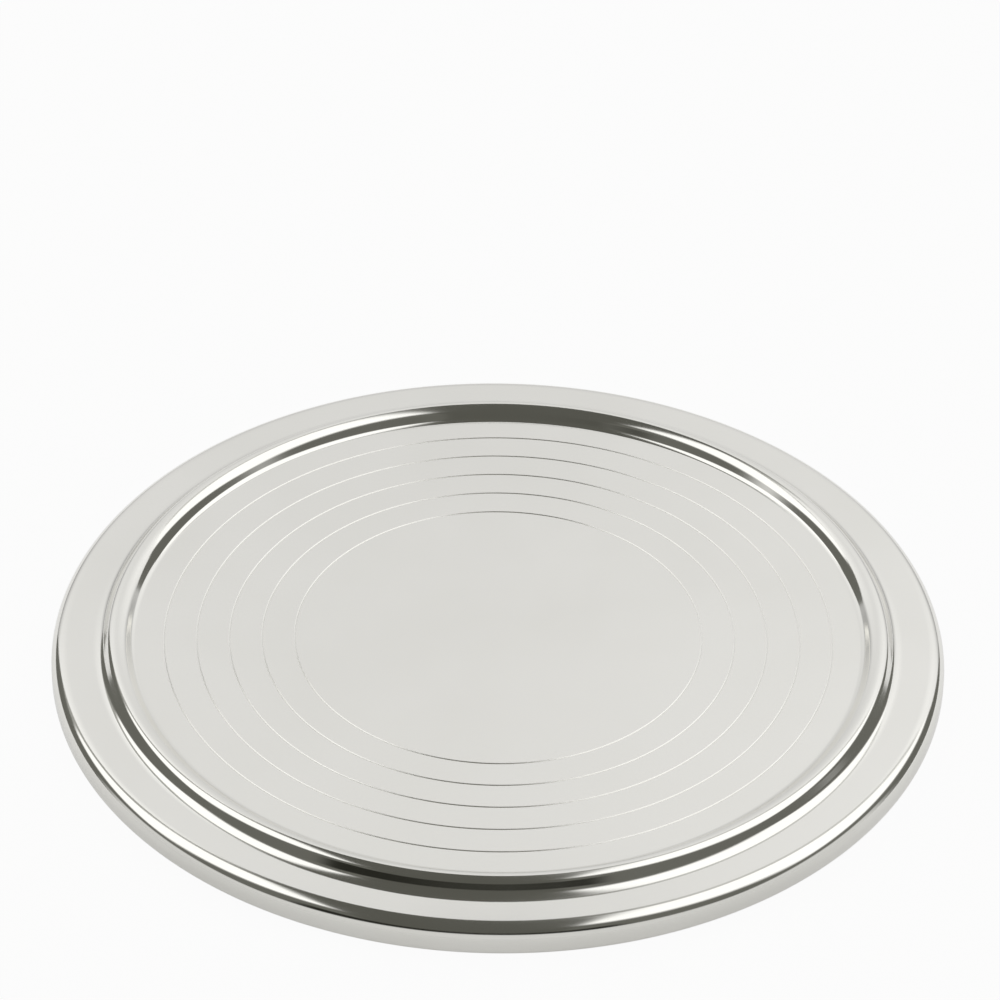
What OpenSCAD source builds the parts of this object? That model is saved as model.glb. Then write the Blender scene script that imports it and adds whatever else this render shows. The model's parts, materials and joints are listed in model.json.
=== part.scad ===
// Round table trivet: a spun, silver-plated sheet-metal top with a raised bead and engraved
// circles, filled with a cork disc and closed below by a fibre board with four push-in feet.
// The origin is at the centre of the plane that the feet stand on.

/* [Top plate] */
// Diameter over the outer shoulder
overall_d = 200; // [195:1:220]
// Height of the flat middle above the table
middle_h = 8; // [7.6:0.1:9]
// Height of the skirt's lower edge above the table
skirt_gap = 1.1; // [0.6:0.1:1.4]
// Thickness of the sheet metal
sheet = 1; // [0.8:0.1:1.1]
// Depth of the rim below the middle
rim_drop = 0.3; // [0:0.1:0.6]
// Radius of the outer shoulder, where the rim turns down into the skirt
shoulder_r = 3.6; // [2:0.1:4]
// Radius of the skirt's lower edge, where the lip turns under
curl_r = 1.3; // [1.2:0.1:1.4]
// Width of the lip that is curled under the base board
lip_w = 4.5; // [3:0.5:6]

/* [Bead] */
// Diameter of the bead's crest
bead_d = 171; // [166:1:173]
// Height of the bead above the middle
bead_h = 2.6; // [2.4:0.1:3]
// Steepest slope of the bead's flanks, in degrees
flank = 50; // [45:1:52]
// Radius of the crest towards the middle
crest_inner_r = 3.3; // [2.5:0.1:3.6]
// Radius of the crest towards the rim
crest_outer_r = 2.4; // [2:0.1:2.7]
// Radius of the hollow where the bead rises from the middle
inner_foot_r = 1.7; // [1:0.1:2]
// Radius of the hollow where the bead runs out into the rim
outer_foot_r = 3.2; // [2:0.1:3.5]

/* [Engraved circles] */
// Number of circles
circle_count = 5; // [1:1:5]
// Radius of the smallest circle
first_circle_r = 45.6; // [40:0.1:46]
// Distance from one circle to the next
circle_pitch = 7.3; // [4:0.1:7.5]
// Width of an engraved line
line_w = 0.4; // [0.2:0.1:0.8]
// Depth of an engraved line
line_depth = 0.11; // [0.05:0.01:0.2]

/* [Filling and base] */
// Diameter of the cork disc
core_d = 170; // [160:1:171]
// Thickness of the base board
board_t = 2; // [1.5:0.1:2.4]
// Gap between the base board's edge and the skirt
board_gap = 0.6; // [0.6:0.1:1]

/* [Feet] */
// Diameter of the circle that the feet stand on
foot_circle_d = 146; // [100:1:148]
// Diameter of a foot's pad
pad_d = 14; // [10:1:18]
// Radius of the pad's lower edge
pad_edge_r = 0.6; // [0.2:0.1:1]
// Diameter of a foot's neck
neck_d = 5; // [4:0.5:6]
// Diameter of the head that snaps in above the board
head_d = 7; // [6.5:0.5:8]
// Height of that head
head_h = 1.6; // [1:0.1:1.6]

/* [Hidden] */
$fn = 96;

foot_count = 4;
arc_steps = 12;
neck_gap = 0.05;
head_gap = 1;
overcut = 1;

outer_r = overall_d / 2;
rim_h = middle_h - rim_drop;
crest_h = middle_h + bead_h;
board_h = skirt_gap + sheet;
board_top_h = board_h + board_t;
core_top_h = middle_h - sheet;

// Radial run of a bead flank of height h: a straight piece between two arcs whose radii add up to r
function flank_run(h, r) = r * sin(flank) + (h - r * (1 - cos(flank))) / tan(flank);

inner_run = flank_run(bead_h, inner_foot_r + crest_inner_r);
outer_run = flank_run(crest_h - rim_h, outer_foot_r + crest_outer_r);

// Centres of the arcs in the plate's section, from the middle outwards
inner_foot_c = [bead_d / 2 - inner_run, middle_h + inner_foot_r];
crest_inner_c = [bead_d / 2, crest_h - crest_inner_r];
crest_outer_c = [bead_d / 2, crest_h - crest_outer_r];
outer_foot_c = [bead_d / 2 + outer_run, rim_h + outer_foot_r];
shoulder_c = [outer_r - shoulder_r, rim_h - shoulder_r];
curl_c = [outer_r - curl_r, skirt_gap + curl_r];

// Points of an arc; angles run clockwise from straight up
function arc(c, r, from, to) = [
    for (i = [0:arc_steps])
        let (a = from + (to - from) * i / arc_steps)
            c + r * [sin(a), cos(a)]
];

// Section of the plate's surface at a depth below its outer skin, from the axis to the end of the lip
function skin(depth) = concat(
    [[0, middle_h - depth]],
    arc(inner_foot_c, inner_foot_r + depth, 180, 180 - flank),
    arc(crest_inner_c, crest_inner_r - depth, -flank, 0),
    arc(crest_outer_c, crest_outer_r - depth, 0, flank),
    arc(outer_foot_c, outer_foot_r + depth, 180 + flank, 180),
    arc(shoulder_c, shoulder_r - depth, 0, 90),
    arc(curl_c, curl_r - depth, 90, 180),
    [[outer_r - lip_w, skirt_gap + depth]]
);

function reversed(points) = [for (i = [len(points) - 1:-1:0]) points[i]];

// V-shaped grooves, cut with a pointed tool that stands as far above the surface as it reaches below
module engraved_circles() {
    for (i = [0:circle_count - 1])
        rotate_extrude()
            translate([first_circle_r + i * circle_pitch, middle_h])
                polygon([[-line_w, line_depth], [0, -line_depth], [line_w, line_depth]]);
}

// One sheet of even thickness, spun to shape, with its lip turned under the base board
module top_plate() {
    color("silver")
        difference() {
            rotate_extrude()
                polygon(concat(skin(0), reversed(skin(sheet))));
            engraved_circles();
        }
}

module at_foot(i) {
    rotate([0, 0, 45 + i * 360 / foot_count])
        translate([foot_circle_d / 2, 0, 0])
            children();
}

module foot_holes(d, from_h, to_h) {
    for (i = [0:foot_count - 1])
        at_foot(i)
            translate([0, 0, from_h - overcut])
                cylinder(d = d, h = to_h - from_h + 2 * overcut);
}

// Cork disc under the middle, punched through where the heads of the feet stand
module insulating_core() {
    color("tan")
        difference() {
            translate([0, 0, board_top_h])
                cylinder(d = core_d, h = core_top_h - board_top_h);
            foot_holes(head_d + 2 * head_gap, board_top_h, core_top_h);
        }
}

// Fibre board that lies on the curled lip and carries the feet
module base_board() {
    color("dimgray")
        difference() {
            translate([0, 0, board_h])
                cylinder(r = outer_r - sheet - board_gap, h = board_t);
            foot_holes(neck_d + 2 * neck_gap, board_h, board_top_h);
        }
}

// Push-in foot: a pad below the board, a neck in its hole and a tapered head above it
module foot(i) {
    section = concat(
        [[0, 0]],
        arc([pad_d / 2 - pad_edge_r, pad_edge_r], pad_edge_r, 180, 90),
        [
            [pad_d / 2, board_h],
            [neck_d / 2, board_h],
            [neck_d / 2, board_top_h],
            [head_d / 2, board_top_h],
            [neck_d / 2, board_top_h + head_h],
            [0, board_top_h + head_h]
        ]
    );
    color("black")
        at_foot(i)
            rotate_extrude()
                polygon(section);
}

top_plate();
insulating_core();
base_board();
foot(0);  // foot_1
foot(1);  // foot_2
foot(2);  // foot_3
foot(3);  // foot_4
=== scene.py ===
import json
import math

import bmesh
import bpy
from mathutils import Matrix, Vector


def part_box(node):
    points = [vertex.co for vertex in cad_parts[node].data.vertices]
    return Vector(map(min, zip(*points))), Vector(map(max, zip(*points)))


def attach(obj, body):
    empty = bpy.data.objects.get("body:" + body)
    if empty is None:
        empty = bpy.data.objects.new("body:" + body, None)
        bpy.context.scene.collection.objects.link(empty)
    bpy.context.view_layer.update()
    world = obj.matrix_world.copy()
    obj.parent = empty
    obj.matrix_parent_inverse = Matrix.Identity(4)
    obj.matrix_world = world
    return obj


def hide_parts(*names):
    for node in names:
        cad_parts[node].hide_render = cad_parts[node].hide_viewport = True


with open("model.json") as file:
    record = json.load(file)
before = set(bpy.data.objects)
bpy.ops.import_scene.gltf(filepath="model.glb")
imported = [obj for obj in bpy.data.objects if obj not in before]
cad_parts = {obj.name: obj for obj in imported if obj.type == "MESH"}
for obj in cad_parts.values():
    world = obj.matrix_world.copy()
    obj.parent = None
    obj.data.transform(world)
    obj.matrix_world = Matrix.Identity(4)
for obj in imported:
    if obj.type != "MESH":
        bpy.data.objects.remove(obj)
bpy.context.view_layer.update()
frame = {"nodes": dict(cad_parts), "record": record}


# Base board
# A round of dark pressed fibre board, stamped from sheet, that closes the underside.
# It lies on the curled lip of the top plate and carries the feet in four punched holes.
mm = 0.001
fibre_size = 0.6 * mm
fibre_relief = 0.12 * mm
mottle_size = 14 * mm
board_lift = 0.22
board_dark = (0.030, 0.026, 0.022)
board_light = (0.105, 0.092, 0.078)
board_tones = (0.3, 0.72)
board_roughness = (0.72, 0.92)


def add_node(material, kind, sockets=None, **settings):
    node = material.node_tree.nodes.new(kind)
    for name, value in settings.items():
        setattr(node, name, value)
    for name, value in (sockets or {}).items():
        if isinstance(value, bpy.types.NodeSocket):
            material.node_tree.links.new(value, node.inputs[name])
        else:
            node.inputs[name].default_value = value
    return node


def calculate(material, operation, *values):
    terms = dict(enumerate(values))
    return add_node(material, "ShaderNodeMath", terms, operation=operation).outputs["Value"]


def start_material(name):
    material = bpy.data.materials.new(name)
    material.use_nodes = True
    place = add_node(material, "ShaderNodeTexCoord").outputs["Object"]
    return material, material.node_tree.nodes["Principled BSDF"], place


def noise(material, place, size, detail=3.0):
    grain = {"Vector": place, "Scale": 1 / size, "Detail": detail, "Roughness": 0.6}
    return add_node(material, "ShaderNodeTexNoise", grain).outputs["Fac"]


def spread(material, value, low, high, start=0.3, end=0.7):
    limits = {"Value": value, "From Min": start, "From Max": end, "To Min": low, "To Max": high}
    return add_node(material, "ShaderNodeMapRange", limits).outputs["Result"]


def two_tone(material, value, dark, light, start=0.3, end=0.7):
    ramp = add_node(material, "ShaderNodeValToRGB", {"Fac": value})
    ramp.color_ramp.elements[0].position = start
    ramp.color_ramp.elements[0].color = (*dark, 1)
    ramp.color_ramp.elements[1].position = end
    ramp.color_ramp.elements[1].color = (*light, 1)
    return ramp.outputs["Color"]


def bump(material, height, depth):
    relief = {"Height": height, "Distance": depth, "Strength": 1.0}
    return add_node(material, "ShaderNodeBump", relief).outputs["Normal"]


def finish_surface(material, shader, colour, roughness, normal):
    links = material.node_tree.links
    links.new(colour, shader.inputs["Base Color"])
    links.new(roughness, shader.inputs["Roughness"])
    links.new(normal, shader.inputs["Normal"])


def dress(name, material):
    slots = frame["nodes"][name].data.materials
    slots.clear()
    slots.append(material)


fibre_board, board_shader, board_place = start_material("fibre_board")
board_fibre = noise(fibre_board, board_place, fibre_size, detail=5.0)
board_mottle = noise(fibre_board, board_place, mottle_size)
board_mix = calculate(fibre_board, "MULTIPLY_ADD", board_fibre, board_mottle, board_lift)
finish_surface(
    fibre_board, board_shader,
    colour=two_tone(fibre_board, board_mix, board_dark, board_light, *board_tones),
    roughness=spread(fibre_board, board_mottle, *board_roughness),
    normal=bump(fibre_board, board_fibre, fibre_relief),
)
dress("base_board", fibre_board)


# Feet
# Four moulded rubber feet: a round pad below the board, a neck in its hole and a tapered
# head that snaps in above it. The rubber is matte and carries a little dust.
rubber_grain_size = 0.35 * mm
rubber_relief = 0.03 * mm
dust_size = 3.5 * mm
rubber_dark = (0.014, 0.014, 0.015)
rubber_dusty = (0.045, 0.043, 0.041)
rubber_tones = (0.45, 0.8)
rubber_roughness = (0.6, 0.82)

foot_rubber, rubber_shader, rubber_place = start_material("foot_rubber")
rubber_grain = noise(foot_rubber, rubber_place, rubber_grain_size)
rubber_dust = noise(foot_rubber, rubber_place, dust_size, detail=6.0)
finish_surface(
    foot_rubber, rubber_shader,
    colour=two_tone(foot_rubber, rubber_dust, rubber_dark, rubber_dusty, *rubber_tones),
    roughness=spread(foot_rubber, rubber_dust, *rubber_roughness),
    normal=bump(foot_rubber, rubber_grain, rubber_relief),
)
foot_names = [name for name in frame["nodes"] if name.startswith("foot_")]
for name in foot_names:
    dress(name, foot_rubber)


# Insulating core
# A disc of pressed cork granules between the board and the plate, punched through where
# the heads of the feet stand. It lies loose and keeps the heat from the table.
granule_size = 2.4 * mm
granule_relief = 0.2 * mm
pore_size = 0.9 * mm
cork_dark = (0.26, 0.15, 0.08)
cork_light = (0.60, 0.42, 0.25)
cork_tones = (0.08, 0.5)
cork_roughness = (0.8, 0.95)

cork, cork_shader, cork_place = start_material("cork")
granules = add_node(cork, "ShaderNodeTexVoronoi", {"Vector": cork_place, "Scale": 1 / granule_size})
cork_pores = noise(cork, cork_place, pore_size, detail=5.0)
cork_mix = calculate(cork, "MULTIPLY", granules.outputs["Color"], cork_pores)
finish_surface(
    cork, cork_shader,
    colour=two_tone(cork, cork_mix, cork_dark, cork_light, *cork_tones),
    roughness=spread(cork, cork_pores, *cork_roughness),
    normal=bump(cork, granules.outputs["Distance"], granule_relief),
)
dress("insulating_core", cork)


# Top plate
# One sheet of silver-plated brass, spun over a former and mirror-polished, with five fine
# circles cut into its middle on the lathe. The lip of its skirt is rolled under the base
# board and holds the board and the cork.
plate_low, plate_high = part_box("top_plate")
plate_r = plate_high.x
skirt_z = plate_low.z
crest_z = plate_high.z
middle_z = frame["record"]["mounts"][0]["pos_m"][2]
rim_drop = 0.3 * mm
rim_z = middle_z - rim_drop
sheet = 1.0 * mm
shoulder_r = 3.6 * mm
curl_r = 1.3 * mm
lip_w = 4.5 * mm
bead_r = 85.5 * mm
flank = math.radians(50)
crest_inner_r = 3.3 * mm
crest_outer_r = 2.4 * mm
inner_foot_r = 1.7 * mm
outer_foot_r = 3.2 * mm
circle_count = 5
first_circle_r = 45.6 * mm
circle_pitch = 7.3 * mm
line_w = 0.4 * mm
line_depth = 0.11 * mm
flat_margin = 0.15 * mm
skin_steps = 14
back_steps = 5
round_steps = 384
half_turn = math.pi
quarter_turn = math.pi / 2
crease = math.radians(15)
cloud_size = 30 * mm
turning_pitch = 0.5 * mm
turning_relief = 0.0004 * mm
silver_shade = (0.935, 0.925, 0.885)
silver_bright = (0.965, 0.955, 0.918)
polish_roughness = (0.08, 0.12)
cut_roughness = 0.28


def flank_run(height, radii):
    return radii * math.sin(flank) + (height - radii * (1 - math.cos(flank))) / math.tan(flank)


inner_foot_x = bead_r - flank_run(crest_z - middle_z, inner_foot_r + crest_inner_r)
outer_foot_x = bead_r + flank_run(crest_z - rim_z, outer_foot_r + crest_outer_r)
inner_foot = Vector((inner_foot_x, 0, middle_z + inner_foot_r))
crest_inner = Vector((bead_r, 0, crest_z - crest_inner_r))
crest_outer = Vector((bead_r, 0, crest_z - crest_outer_r))
outer_foot = Vector((outer_foot_x, 0, rim_z + outer_foot_r))
shoulder = Vector((plate_r - shoulder_r, 0, rim_z - shoulder_r))
curl = Vector((plate_r - curl_r, 0, skirt_z + curl_r))
plate = bmesh.new()


def line_to(pen, x, z):
    end = bmesh.ops.extrude_vert_indiv(plate, verts=[pen])["verts"][0]
    end.co = (x, 0, z)
    return end


# An arc's angles run clockwise from straight up
def arc_to(pen, centre, radius, start, angle, steps):
    begin = line_to(pen, centre.x + radius * math.sin(start), centre.z + radius * math.cos(start))
    turned = bmesh.ops.spin(plate, geom=[begin], cent=centre, axis=(0, 1, 0), angle=angle, steps=steps)
    return next(part for part in turned["geom_last"] if isinstance(part, bmesh.types.BMVert))


pen = plate.verts.new((0, 0, middle_z))
for i in range(circle_count):
    circle_r = first_circle_r + i * circle_pitch
    pen = line_to(pen, circle_r - line_w / 2, middle_z)
    pen = line_to(pen, circle_r, middle_z - line_depth)
    pen = line_to(pen, circle_r + line_w / 2, middle_z)
pen = line_to(pen, inner_foot.x - flat_margin, middle_z)
pen = arc_to(pen, inner_foot, inner_foot_r, half_turn, -flank, skin_steps)
pen = arc_to(pen, crest_inner, crest_inner_r, -flank, flank, skin_steps)
pen = arc_to(pen, crest_outer, crest_outer_r, 0, flank, skin_steps)
pen = arc_to(pen, outer_foot, outer_foot_r, half_turn + flank, -flank, skin_steps)
pen = line_to(pen, outer_foot.x + flat_margin, rim_z)
pen = line_to(pen, shoulder.x - flat_margin, rim_z)
pen = arc_to(pen, shoulder, shoulder_r, 0, quarter_turn, 2 * skin_steps)
pen = arc_to(pen, curl, curl_r, quarter_turn, quarter_turn, skin_steps)
pen = line_to(pen, plate_r - lip_w, skirt_z)
pen = line_to(pen, plate_r - lip_w, skirt_z + sheet)
pen = arc_to(pen, curl, curl_r - sheet, half_turn, -quarter_turn, back_steps)
pen = arc_to(pen, shoulder, shoulder_r - sheet, quarter_turn, -quarter_turn, back_steps)
pen = arc_to(pen, outer_foot, outer_foot_r + sheet, half_turn, flank, back_steps)
pen = arc_to(pen, crest_outer, crest_outer_r - sheet, flank, -flank, back_steps)
pen = arc_to(pen, crest_inner, crest_inner_r - sheet, 0, -flank, back_steps)
pen = arc_to(pen, inner_foot, inner_foot_r + sheet, half_turn - flank, flank, back_steps)
line_to(pen, 0, middle_z - sheet)

bmesh.ops.remove_doubles(plate, verts=plate.verts, dist=0.1 * flat_margin)
bmesh.ops.spin(
    plate, geom=plate.verts[:] + plate.edges[:], cent=(0, 0, 0), axis=(0, 0, 1),
    angle=2 * half_turn, steps=round_steps, use_merge=True,
)
bmesh.ops.remove_doubles(plate, verts=plate.verts, dist=0.01 * flat_margin)
bmesh.ops.recalc_face_normals(plate, faces=plate.faces)
for face in plate.faces:
    face.smooth = True
for edge in plate.edges:
    edge.smooth = edge.calc_face_angle(0) < crease
plate_mesh = bpy.data.meshes.new("spun_plate")
plate.to_mesh(plate_mesh)
plate.free()
spun_plate = bpy.data.objects.new("spun_plate", plate_mesh)
bpy.context.scene.collection.objects.link(spun_plate)

silver, silver_shader, silver_place = start_material("silver_plate")
silver_shader.inputs["Metallic"].default_value = 1.0
silver_cloud = noise(silver, silver_place, cloud_size, detail=2.0)
level = add_node(silver, "ShaderNodeVectorMath", {0: silver_place, 1: (1, 1, 0)}, operation="MULTIPLY")
reach = add_node(silver, "ShaderNodeVectorMath", {0: level.outputs["Vector"]}, operation="LENGTH")
from_axis = reach.outputs["Value"]
turning = add_node(
    silver, "ShaderNodeTexNoise", {"W": from_axis, "Scale": 1 / turning_pitch, "Detail": 2.0},
    noise_dimensions="1D",
)
from_first = calculate(silver, "SUBTRACT", from_axis, first_circle_r)
from_line = calculate(silver, "PINGPONG", from_first, circle_pitch / 2)
in_line = calculate(silver, "LESS_THAN", from_line, line_w / 2)
circles_w = (circle_count - 1) * circle_pitch
among_lines = calculate(silver, "COMPARE", from_first, circles_w / 2, circles_w / 2 + line_w)
cut_marks = calculate(silver, "MULTIPLY", in_line, among_lines)
cut_finish = calculate(silver, "MULTIPLY", cut_marks, cut_roughness)
polish = spread(silver, silver_cloud, *polish_roughness)
finish_surface(
    silver, silver_shader,
    colour=two_tone(silver, silver_cloud, silver_shade, silver_bright),
    roughness=calculate(silver, "MAXIMUM", polish, cut_finish),
    normal=bump(silver, turning.outputs["Fac"], turning_relief),
)
spun_plate.data.materials.append(silver)
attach(spun_plate, "root")
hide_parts("top_plate")


# Floor
# A plain pale table top. Seen directly it is near white and keeps the object's soft shadow.
# The metal mirrors it with a painted white glow that grows brighter towards the back, standing in for
# light from the wall.
floor_size = 20.0
floor_z = -0.02 * mm
floor_colour = (0.8, 0.8, 0.79)
seen_white = 0.95
mirrored_whites = (0.3, 0.6)
mirrored_y = (-0.08, 0.02)
pure_white = (1, 1, 1)


def start_backdrop(name):
    material = bpy.data.materials.new(name)
    material.use_nodes = True
    material.node_tree.nodes.clear()
    place = add_node(material, "ShaderNodeTexCoord").outputs["Object"]
    return material, add_node(material, "ShaderNodeSeparateXYZ", {"Vector": place}).outputs


def shine(material, colour, strength):
    light = {"Color": (*colour, 1), "Strength": strength}
    return add_node(material, "ShaderNodeEmission", light).outputs["Emission"]


def finish_backdrop(material, share, first, second):
    mix = add_node(material, "ShaderNodeMixShader", {0: share, 1: first, 2: second})
    add_node(material, "ShaderNodeOutputMaterial", {"Surface": mix.outputs["Shader"]})


def stage_piece(name, shape, material):
    mesh = bpy.data.meshes.new(name)
    shape.to_mesh(mesh)
    shape.free()
    mesh.materials.append(material)
    piece = bpy.data.objects.new(name, mesh)
    bpy.context.scene.collection.objects.link(piece)


floor_paint, floor_at = start_backdrop("floor")
floor_ray = add_node(floor_paint, "ShaderNodeLightPath").outputs
# Painted light: the glow the metal mirrors grows from front to back
mirrored_white = spread(floor_paint, floor_at["Y"], *mirrored_whites, *mirrored_y)
seen = calculate(floor_paint, "MULTIPLY", floor_ray["Is Camera Ray"], seen_white)
mirrored = calculate(floor_paint, "MULTIPLY", floor_ray["Is Glossy Ray"], mirrored_white)
white_share = calculate(floor_paint, "MAXIMUM", seen, mirrored)
matt = add_node(floor_paint, "ShaderNodeBsdfDiffuse", {"Color": (*floor_colour, 1)})
finish_backdrop(floor_paint, white_share, matt.outputs["BSDF"], shine(floor_paint, pure_white, 1.0))
floor_shape = bmesh.new()
floor_place = Matrix.Translation((0, 0, floor_z))
bmesh.ops.create_grid(floor_shape, x_segments=1, y_segments=1, size=floor_size / 2, matrix=floor_place)
stage_piece("floor", floor_shape, floor_paint)


# Back wall
# A sheet of white paper that stands behind the table, with an uneven upper edge and a narrower
# foot. Its glow is painted light, brighter towards the top and both sides, with painted shade at its foot
# and in the lower corners.
# The camera looks through it.
wall_y = 0.75
wall_outline = (
    (-0.7, 0), (-0.8, 0.85), (-0.7, 1.13), (-0.5, 1.22), (-0.3, 1.09), (-0.1, 0.8),
    (0.1, 0.79), (0.4, 0.88), (0.6, 0.83), (0.85, 0.72), (0.95, 0.45), (0.68, 0),
)
paper_colour = (1, 1, 0.995)
above_light = (0.605, 0.825)
above_z = (0.0, 1.0)
left_light = (0.15, 0.0)
left_x = (-0.75, -0.15)
right_light = (0.0, 0.145)
right_x = (0.0, 0.5)
foot_share = (0.8, 1.0)
foot_z = (0.0, 0.1)
corner_loss = (0.0, 0.4)
corner_x = (0.25, 0.5)
corner_fade = (1.0, 0.0)
corner_z = (0.05, 0.3)

paper_wall, paper_at = start_backdrop("paper_wall")
# Painted light: the wall's glow rises towards the top and towards both sides
from_above = spread(paper_wall, paper_at["Z"], *above_light, *above_z)
from_left = spread(paper_wall, paper_at["X"], *left_light, *left_x)
from_right = spread(paper_wall, paper_at["X"], *right_light, *right_x)
above_and_left = calculate(paper_wall, "ADD", from_above, from_left)
all_light = calculate(paper_wall, "ADD", above_and_left, from_right)
from_centre = calculate(paper_wall, "ABSOLUTE", paper_at["X"])
# Painted shade: the glow dims in the lower corners and at the foot
corner_side = spread(paper_wall, from_centre, *corner_loss, *corner_x)
corner_low = spread(paper_wall, paper_at["Z"], *corner_fade, *corner_z)
corner_dim = calculate(paper_wall, "MULTIPLY", corner_side, corner_low)
foot_lit = spread(paper_wall, paper_at["Z"], *foot_share, *foot_z)
lit_share = calculate(paper_wall, "SUBTRACT", foot_lit, corner_dim)
paper_light = calculate(paper_wall, "MULTIPLY", all_light, lit_share)
paper_glow = shine(paper_wall, paper_colour, paper_light)
paper_seen = add_node(paper_wall, "ShaderNodeLightPath").outputs["Is Camera Ray"]
clear = add_node(paper_wall, "ShaderNodeBsdfTransparent")
finish_backdrop(paper_wall, paper_seen, paper_glow, clear.outputs["BSDF"])
wall_shape = bmesh.new()
(first_x, first_z), *other_corners = wall_outline
first_corner = wall_shape.verts.new((first_x, wall_y, first_z))
corner = first_corner
for x, z in other_corners:
    corner = bmesh.ops.extrude_vert_indiv(wall_shape, verts=[corner])["verts"][0]
    corner.co = (x, wall_y, z)
bmesh.ops.contextual_create(wall_shape, geom=[corner, first_corner])
bmesh.ops.edgeloop_fill(wall_shape, edges=wall_shape.edges[:])
stage_piece("back_wall", wall_shape, paper_wall)


# Studio
# A dim room with a soft bright panel over each side of the table, each with a greyer fold above
# the wall. Between them lies an unlit opening with the lens shade in it, and pale cards stand low
# in front and at the sides. Seen directly the surroundings are plain white.
world = bpy.data.worlds.new("studio")
bpy.context.scene.world = world
world.use_nodes = True
world.node_tree.nodes.clear()
towards = add_node(world, "ShaderNodeTexCoord").outputs["Generated"]


def glow(colour):
    light = {"Color": (*colour, 1), "Strength": 1.0}
    return add_node(world, "ShaderNodeBackground", light).outputs["Background"]


# An edge is the direction that the cloth lies in, and how far along it the cloth starts and is full
def hang(behind, cloth, edges):
    share = 1.0
    for direction, start, full in edges:
        inwards = Vector(direction).normalized()
        along = add_node(world, "ShaderNodeVectorMath", {0: towards, 1: inwards}, operation="DOT_PRODUCT")
        limits = {"Value": along.outputs["Value"], "From Min": start, "From Max": full}
        soft = add_node(world, "ShaderNodeMapRange", limits, interpolation_type="SMOOTHSTEP")
        share = calculate(world, "MULTIPLY", soft.outputs["Result"], share)
    return add_node(world, "ShaderNodeMixShader", {0: share, 1: behind, 2: cloth}).outputs["Shader"]


room = glow((0.130, 0.130, 0.116))
panel = glow((1.1, 1.1, 1.09))
left_fold = glow((0.34, 0.34, 0.32))
right_fold = glow((0.55, 0.55, 0.53))
opening = glow((0.092, 0.092, 0.080))
lens_shade = glow((0.018, 0.018, 0.014))
card = glow((0.63, 0.63, 0.62))
left_panel_edges = (
    ((1, 0, 1.9), -0.05, 0.05),
    ((0.17, 1, 0.39), -0.09, 0.09),
    ((-1, -0.1, 0.08), -0.02, 0.02),
    ((-0.3, -1, 0.71), -0.03, 0.03),
)
right_panel_edges = (
    ((-1, 0.02, 1.57), -0.06, 0.06),
    ((-0.08, 1, 0.38), -0.12, 0.12),
    ((1, 0.1, -0.08), -0.02, 0.02),
)
above_wall = ((0, 0, 1), 0.4, 0.45)
left_fold_edges = (
    ((0, 1, -0.55), -0.02, 0.02),
    ((1, 1.2, 0), -0.02, 0.02),
    ((-1, 0, 0), -0.01, 0.01),
    above_wall,
)
right_fold_edges = (
    ((-0.33, 1, -0.64), -0.02, 0.02),
    ((-1, 0.95, 0), -0.02, 0.02),
    ((1, 0, 0), -0.01, 0.01),
    above_wall,
)
opening_edges = (
    ((1, -0.25, 0.375), -0.03, 0.03),
    ((-1, -0.14, 0.185), -0.03, 0.03),
)
lens_shade_edges = (
    ((1, -1.15, 0), -0.05, 0.05),
    ((-1, -0.6, 0), -0.05, 0.05),
    ((0, 0, -1), -0.71, -0.63),
)
card_slopes = ((0, -0.62, -1), (-0.27, -0.2, -1), (0.31, -0.11, -1))
front_half = ((0, -1, 0), -0.3, -0.05)

studio = hang(room, panel, left_panel_edges)
studio = hang(studio, left_fold, left_fold_edges)
studio = hang(studio, panel, right_panel_edges)
studio = hang(studio, right_fold, right_fold_edges)
studio = hang(studio, opening, opening_edges)
studio = hang(studio, lens_shade, lens_shade_edges)
for slope in card_slopes:
    studio = hang(studio, card, ((slope, -0.05, 0.05), front_half))
direct = add_node(world, "ShaderNodeLightPath").outputs["Is Camera Ray"]
surroundings = add_node(world, "ShaderNodeMixShader", {0: direct, 1: studio, 2: glow(pure_white)})
add_node(world, "ShaderNodeOutputWorld", {"Surface": surroundings.outputs["Shader"]})
bpy.context.scene.view_settings.view_transform = "Standard"


# Camera
# A long lens, a good metre away and 38 degrees above the table, aimed a little above the
# object, which so sits low in the picture.
camera_height = math.radians(38.18)
camera_distance = 1.0987
aim_above = math.radians(1.561)
camera_roll = math.radians(0.75)
camera_data = bpy.data.cameras.new("camera")
camera_data.lens = 176.4
camera_data.sensor_width = 36
camera = bpy.data.objects.new("camera", camera_data)
bpy.context.scene.collection.objects.link(camera)
camera_y = -camera_distance * math.cos(camera_height)
camera_z = middle_z + camera_distance * math.sin(camera_height)
tilt = Matrix.Rotation(quarter_turn - camera_height + aim_above, 4, "X")
roll = Matrix.Rotation(camera_roll, 4, "Z")
camera.matrix_world = Matrix.Translation((0, camera_y, camera_z)) @ tilt @ roll
bpy.context.scene.camera = camera
